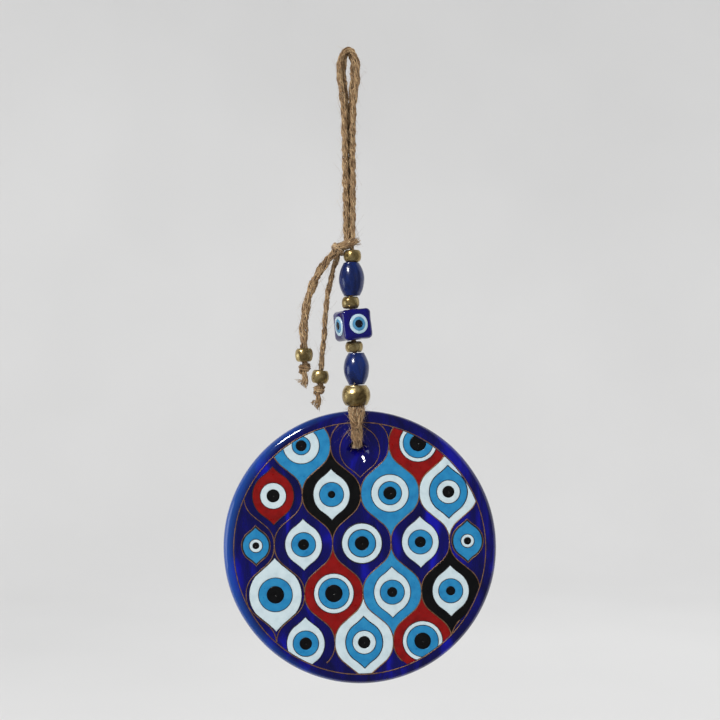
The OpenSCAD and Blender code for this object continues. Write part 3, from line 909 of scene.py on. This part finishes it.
# Each eye: its column and row, how far it is shifted, and its layers from the outermost in, as
# (shape, colour, half width), or (colour, radius) for a round one. A cell layer fills its
# whole cell, and an ogee is pointed above and below.
CELL, OGEE, ROUND = "cell", "ogee", "round"
W, B, R, K = "white", "turquoise", "red", "black"
EYE_ROWS = [
    (-1, 0, 0, (CELL, B, 0), (W, 7.9), (B, 4), (K, 2.4)),
    (1, 0, 0, (CELL, R, 0), (W, 8.2), (B, 6.5), (K, 3.6)),
    (-1.5, 1, 0, (OGEE, R, 9.1), (W, 5.7), (K, 2.85)),
    (-0.5, 1, 0, (CELL, K, 0), (OGEE, W, 8), (B, 5.3), (K, 1.6)),
    (0.5, 1, 0, (CELL, B, 0), (W, 8.2), (B, 5.1), (K, 2.85)),
    (1.5, 1, 0, (CELL, W, 0), (OGEE, B, 8.3), (W, 5.1), (K, 2.6)),
    (-2, 2, 4.7, (OGEE, B, 5.8), (W, 2.9), (K, 1.5)),
    (-1, 2, 0, (OGEE, W, 8.1), (B, 5.3), (K, 2.4)),
    (0, 2, 0, (W, 8.8), (B, 6), (K, 3.1)),
    (1, 2, 0, (OGEE, W, 8.1), (B, 5.3), (K, 2.4)),
    (2, 2, -4.9, (OGEE, B, 6.4), (W, 2.9), (K, 1.6)),
    (-1.5, 3, 0, (OGEE, W, 11.5), (B, 7.4), (K, 3.8)),
    (-0.5, 3, 0, (CELL, R, 0), (W, 8.7), (B, 6.7), (K, 3.8)),
    (0.5, 3, 0, (CELL, B, 0), (OGEE, W, 8), (B, 5.3), (K, 2.2)),
    (1.5, 3, 0, (CELL, K, 0), (OGEE, W, 8), (B, 5.3), (K, 2)),
    (-1, 4, 0, (OGEE, W, 8.3), (B, 5.6), (K, 2.7)),
    (0, 4, 0, (CELL, W, 0), (OGEE, B, 8.1), (W, 5.1), (K, 2.7)),
    (1, 4, 0, (CELL, R, 0), (W, 8.7), (B, 6.9), (K, 3.6)),
]
EYES = [(column, row, shift, [layer if len(layer) == 3 else (ROUND, *layer) for layer in layers])
        for column, row, shift, *layers in EYE_ROWS]
BARE_CELL = (0, 0)
LONE_OUTLINES = [(0, 0, 0, -2.3, 8.7), (-2, 2, 4.7, 0, 6.3), (2, 2, -4.9, 0, 6.9)]
COLOURS = {W: ("enamel_white", WHITE), B: ("enamel_turquoise", BLUE),
           R: ("enamel_red", RED), K: ("enamel_black", BLACK)}
STEPS = 240
LAYER_INSET = 0.45


def cell_flank(inset=0.0, steps=14):
    """A cell's upper right flank, from the middle of its side up to its tip."""
    half = PITCH / 2
    tip = ROW_PITCH - CELL_SIDE
    last = math.degrees(math.acos(CELL_ARC_R / (CELL_ARC_R + inset))) if inset > 0 else 0
    side = arc((half - CELL_ARC_R, CELL_SIDE), CELL_ARC_R - inset, 0, CELL_TURN, steps)
    hollow = arc((CELL_ARC_R, tip), -(CELL_ARC_R + inset), CELL_TURN, last, steps)
    return [(half - inset, 0)] + side + hollow


SIDE_R = 1.165
FLANK_TURN = 55
TIP = 1.4


def ogee_flank(half_width, steps=12):
    """An ogee's upper right flank: a round side, then a hollow run up to the tip."""
    side = arc((1 - SIDE_R, 0), SIDE_R, 0, FLANK_TURN, steps)
    x, z = side[-1]
    chord = math.degrees(math.atan2(x, TIP - z))
    end = 2 * chord - FLANK_TURN
    r = math.hypot(x, TIP - z) / (2 * math.sin(math.radians(FLANK_TURN - end) / 2))
    hollow = []
    for k in range(1, steps + 1):
        a = math.radians(FLANK_TURN + (end - FLANK_TURN) * k / steps)
        f = math.radians(FLANK_TURN)
        hollow.append((x - r * (math.cos(a) - math.cos(f)), z + r * (math.sin(f) - math.sin(a))))
    return [(half_width * u, half_width * v) for u, v in side + hollow]


def spokes():
    """The angles that all the enamel outlines are measured at, closer together at the sides."""
    t = np.arange(STEPS) / STEPS
    return TAU * t + 0.1 * np.sin(2 * TAU * t + math.pi)


SPOKES = spokes()
WAYS = np.stack([np.cos(SPOKES), np.sin(SPOKES)], 1)


def reach_of(kind, half_width, inset=GOLD_W / 2):
    """How far a shape reaches from its middle along each spoke."""
    if kind == ROUND:
        return np.full(STEPS, float(half_width))
    flank = cell_flank(inset) if kind == CELL else ogee_flank(half_width)
    flank = np.array(flank)
    angle = np.arctan2(flank[:, 1], flank[:, 0])
    folded = np.arctan2(np.abs(np.sin(SPOKES)), np.abs(np.cos(SPOKES)))
    px = np.interp(folded, angle, flank[:, 0])
    pz = np.interp(folded, angle, flank[:, 1])
    return np.hypot(px, pz)


def cell_middle(column, row, shift=0.0, lift=0.0):
    """A cell's middle, as (x, z) from the disc's middle."""
    return np.array([LATTICE_AT[0] + column * PITCH + shift,
                     LATTICE_AT[1] + (MIDDLE_ROW - row) * ROW_PITCH + lift])


def clipped(reach, middle, radius=CLIP_R):
    """A reach that stops at the ring."""
    along = WAYS @ middle
    limit = -along + np.sqrt(np.maximum(along**2 - middle @ middle + radius**2, 0))
    return np.minimum(reach, limit)


def outline(middle, reach):
    """The points that a reach gives round a middle."""
    return middle + WAYS * reach[:, None]


def on_glass(flat, height):
    """Points on the glass's front, from flat (x, z) about the disc's middle and a height."""
    out = np.empty((len(flat), 3))
    out[:, 0] = flat[:, 0] * MM
    out[:, 1] = GLASS_FRONT - height * MM
    out[:, 2] = DISC_MIDDLE.z + flat[:, 1] * MM
    return out


EDGE = 0.22
SUNK = 0.05
COAT_H = 0.16
LEVEL_H = 0.05


def coat(middle, outer, inner, height):
    """A coat of enamel between two outlines, with rounded edges, as points and faces."""
    width = outer - inner
    edge = np.minimum(EDGE, width / 2.5)
    full = height * np.clip(width / 0.5, 0, 1)
    foot = np.full(STEPS, -SUNK)
    rows = [(outer, foot), (outer, 0.45 * full), (outer - 0.3 * edge, 0.82 * full), (outer - edge, full)]
    rows += [(outer - edge - (width - 2 * edge) * s, full) for s in (0.25, 0.5, 0.75)]
    if inner.max() > 0.1:
        rows += [(inner + edge, full), (inner + 0.3 * edge, 0.82 * full), (inner, 0.45 * full), (inner, foot)]
    else:
        core = np.full(STEPS, 0.03)
        rows += [(core, full), (core, foot)]
    points = [on_glass(outline(middle, reach), rise) for reach, rise in rows]
    return np.vstack(points), grid_faces(len(rows), STEPS, closed_rows=True)


def make_enamel():
    """Each eye's layers lie side by side on the glass, each a little higher than the one
    round it, and each colour is one piece."""
    found = {colour: [] for colour in COLOURS}
    for column, row, shift, layers in EYES:
        middle = cell_middle(column, row, shift)
        reaches = [clipped(reach_of(kind, w), middle) for kind, _, w in layers]
        if layers[0][0] == OGEE and not shift:
            reaches[0] = np.minimum(reaches[0], reach_of(CELL, 0, LAYER_INSET))
        reaches.append(np.zeros(STEPS))
        for level, (_, colour, _) in enumerate(layers):
            outer, inner = reaches[level], reaches[level + 1]
            height = COAT_H + LEVEL_H * level
            found[colour].append(coat(middle, outer, np.minimum(inner, outer), height))
    for colour, coats in found.items():
        node, material = COLOURS[colour]
        points, faces = join(coats)
        piece = clean(new_piece(node + "_coat", points, faces, material), FLAT_MERGE)
        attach(piece, "pendant")
        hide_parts(node)


def ridge(flat, width, height, closed):
    """A half-round line laid on the glass along flat points, as points and faces."""
    flat = np.asarray(flat, float)
    if closed:
        ahead = np.roll(flat, -1, 0) - np.roll(flat, 1, 0)
    else:
        ahead = np.gradient(flat, axis=0)
    ahead /= np.maximum(np.linalg.norm(ahead, axis=1), 1e-9)[:, None]
    side = np.stack([-ahead[:, 1], ahead[:, 0]], 1)
    width = np.broadcast_to(width, len(flat))[:, None]
    half = [(-0.5, -SUNK), (-0.5, 0.35), (-0.3, 0.85), (0, 1)]
    section = half + [(-u, v) for u, v in half[-2::-1]]
    rows = [on_glass(flat + side * width * u, height * v) for u, v in section]
    points = np.stack(rows, 1).reshape(-1, 3)
    n, m = len(flat), len(section)
    faces = grid_faces(n, m, closed_rows=closed)
    if not closed:
        faces += [list(range(m - 1, -1, -1)), list(range((n - 1) * m, n * m))]
    return points, faces


SHORTEST_RUN = 9


def stretches(points, inside):
    """The runs of points that are inside, in order, without the very short ones."""
    runs, run = [], []
    for p, ok in zip(points, inside):
        if ok:
            run.append(p)
        elif run:
            runs.append(run)
            run = []
    if run:
        runs.append(run)
    return [r for r in runs if len(r) > SHORTEST_RUN]


def make_gold():
    """The lattice: each flank that two cells share is drawn once, and swells where it meets
    the next cell's side. The ring and the lone outlines are closed lines."""
    parts, drawn = [], set()
    cells = [(c, r) for c, r, shift, _ in EYES if not shift] + [BARE_CELL]
    flank = np.array(cell_flank(steps=22))
    for column, row in cells:
        middle = cell_middle(column, row)
        for sx, sz in ((1, 1), (-1, 1), (1, -1), (-1, -1)):
            points = middle + flank * (sx, sz)
            key = tuple(np.round((points[0] + points[-1]) / 2 + points[len(points) // 2], 1))
            if key in drawn:
                continue
            drawn.add(key)
            inside = np.hypot(points[:, 0], points[:, 1]) < RING_R
            for run in stretches(points, inside):
                swell = GOLD_W * (1 + 0.5 * np.linspace(0, 1, len(run)) ** 6)
                parts.append(ridge(run, swell, GOLD_H, False))
    turn = TAU * np.arange(360) / 360
    ring = RING_R * np.stack([np.cos(turn), np.sin(turn)], 1)
    parts.append(ridge(ring, GOLD_W, GOLD_H, True))
    for column, row, shift, lift, w in LONE_OUTLINES:
        middle = cell_middle(column, row, shift, lift)
        reach = clipped(reach_of(OGEE, w), middle, RING_R - 0.3)
        parts.append(ridge(outline(middle, reach), GOLD_W * 0.85, LONE_GOLD_H, True))
    points, faces = join(parts)
    piece = clean(new_piece("gold_lattice", points, faces, GOLD), FLAT_MERGE)
    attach(piece, "pendant")
    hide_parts("gold_outline")


BOLD_CONTOUR_W = 0.5
CONTOUR_W = 0.36
CONTOUR_H = 0.29


def make_contours():
    """The thin dark lines between the colours of each eye."""
    parts = []
    for column, row, shift, layers in EYES:
        middle = cell_middle(column, row, shift)
        for level, (kind, colour, w) in enumerate(layers):
            if kind == CELL or colour == K:
                continue
            bold = kind == OGEE and colour == B or (column, row) == (0, 2)
            reach = reach_of(kind, w)
            if kind == OGEE and not shift:
                reach = np.minimum(reach, reach_of(CELL, 0, LAYER_INSET))
            limit = clipped(reach, middle)
            points = outline(middle, reach)
            width = BOLD_CONTOUR_W if bold else CONTOUR_W
            height = CONTOUR_H + LEVEL_H * level
            if np.allclose(limit, reach):
                parts.append(ridge(points, width, height, True))
            else:
                first = int(np.argmax(limit < reach - 1e-6))
                order = np.roll(np.arange(STEPS), -first)
                for run in stretches(points[order], (limit >= reach - 1e-6)[order]):
                    parts.append(ridge(run, width, height, False))
    points, faces = join(parts)
    piece = clean(new_piece("dark_contours", points, faces, DARK), FLAT_MERGE)
    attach(piece, "pendant")


# ---- stage

FLOOR_Z = -0.5
FLOOR_R = 1.3
CURVE_R = 0.4
STAGE_R = FLOOR_R + CURVE_R


def make_stage():
    """A pale floor that curves up into a round backdrop, so that every view is plain. Only its
    back half shows in reflections, so that the front stays deep in colour."""
    sweep = [(0.02, FLOOR_Z), (0.6, FLOOR_Z), (1.2, FLOOR_Z)]
    sweep += arc((FLOOR_R, FLOOR_Z + CURVE_R), CURVE_R, -90, 0, 12)
    sweep += [(STAGE_R, z) for z in (0.4, 1.2, 1.8)]
    segments = 96
    points = lathe(sweep, segments)
    faces = grid_faces(len(sweep), segments) + [list(range(segments))]
    material = stage_material()
    for name, side in (("backdrop_back", 1), ("backdrop_front", -1)):
        half = [f for f in faces if side * sum(points[i][1] for i in f) > 0 or len(f) > 4 and side > 0]
        used = sorted({i for f in half for i in f})
        place = {old: new for new, old in enumerate(used)}
        piece = new_piece(name, points[used], [[place[i] for i in f] for f in half], material)
        piece.visible_glossy = side > 0


LIT_POINT = Vector((0, 0, -0.17))


def area_light(name, at, size, power, colour=(1, 1, 1), glossy=True):
    """A round light that points at the ornament. Power is in watts."""
    data = bpy.data.lights.new(name, "AREA")
    data.shape = "DISK"
    data.size = size
    data.energy = power
    data.color = colour
    light = bpy.data.objects.new(name, data)
    scene.collection.objects.link(light)
    light.location = at
    light.rotation_euler = (LIT_POINT - Vector(at)).to_track_quat("-Z", "Y").to_euler()
    light.visible_glossy = glossy


def make_lights():
    """A soft key from the upper left in front, a weak fill from the right, a light from behind
    and above, and a cool one from the left that lights the disc's rim."""
    area_light("key", (-0.75, -0.95, 0.75), 0.3, 18, (1.0, 0.98, 0.95))
    area_light("fill", (0.9, -1.0, 0.2), 0.9, 3, glossy=False)
    area_light("back", (0.5, 1.0, 0.8), 0.5, 9, glossy=False)
    area_light("side", (-1.3, -0.15, -0.25), 0.7, 2.5, (0.85, 0.93, 1.0))
    world = bpy.data.worlds.new("soft_light")
    world.use_nodes = True
    background = world.node_tree.nodes["Background"].inputs
    background["Color"].default_value = (0.9, 0.92, 0.95, 1)
    background["Strength"].default_value = 0.16
    scene.world = world
    scene.view_settings.view_transform = "Standard"


# ---- build

make_camera()

# The right tail leans, and its bead with it, so the bead's height isn't its box's height.
TAIL_LEAN = math.radians(6.843)
TAIL_BEAD_H = 5.8
bead_pieces = {
    "left_tail_bead": make_ball("left_tail_ball", "left_tail_bead", "left_bead", 5),
    "right_tail_bead": make_ball("right_tail_ball", "right_tail_bead", "right_bead", 6, TAIL_LEAN,
                                 TAIL_BEAD_H),
}
make_loop_strand("loop_twine_front", LOOP_FRONT, 1)
make_loop_strand("loop_twine_back", LOOP_BACK, 2)
make_bead_cord("bead_cord_front", -1, 3)
make_bead_cord("bead_cord_back", 1, 4)
make_hitch()
make_tail("left_tail", LEFT_TAIL, LEFT_TAIL_D, "left_tail_bead", 0.0, (-7.9, -2, -87), 11)
make_tail("right_tail", RIGHT_TAIL, TWINE_D, "right_tail_bead", TAIL_LEAN, (-6.4, 1.5, -87.5), 12)
make_main_knot()

for seed, place in enumerate(("upper", "middle", "lower"), 1):
    make_ball(place + "_spacer_ball", "brass_spacer_" + place, place + "_spacer", seed)
for seed, place in enumerate(("upper", "lower"), 1):
    make_oval(place + "_oval_barrel", "oval_bead_" + place, place + "_oval", seed)
make_big_bead()
make_cube()
make_cube_eyes("cube_eye_white_rings", "cube_eye_whites", EYE_WHITE, 4.3, 3.0, 0.0, 21)
make_cube_eyes("cube_eye_blue_rings", "cube_eye_irises", EYE_BLUE, 3.0, 1.75, 0.02, 22)
make_cube_eyes("cube_eye_dots", "cube_eye_pupils", EYE_PUPIL, 1.75, 0.0, 0.04, 23)

make_disc()
make_enamel()
make_gold()
make_contours()

make_stage()
make_lights()
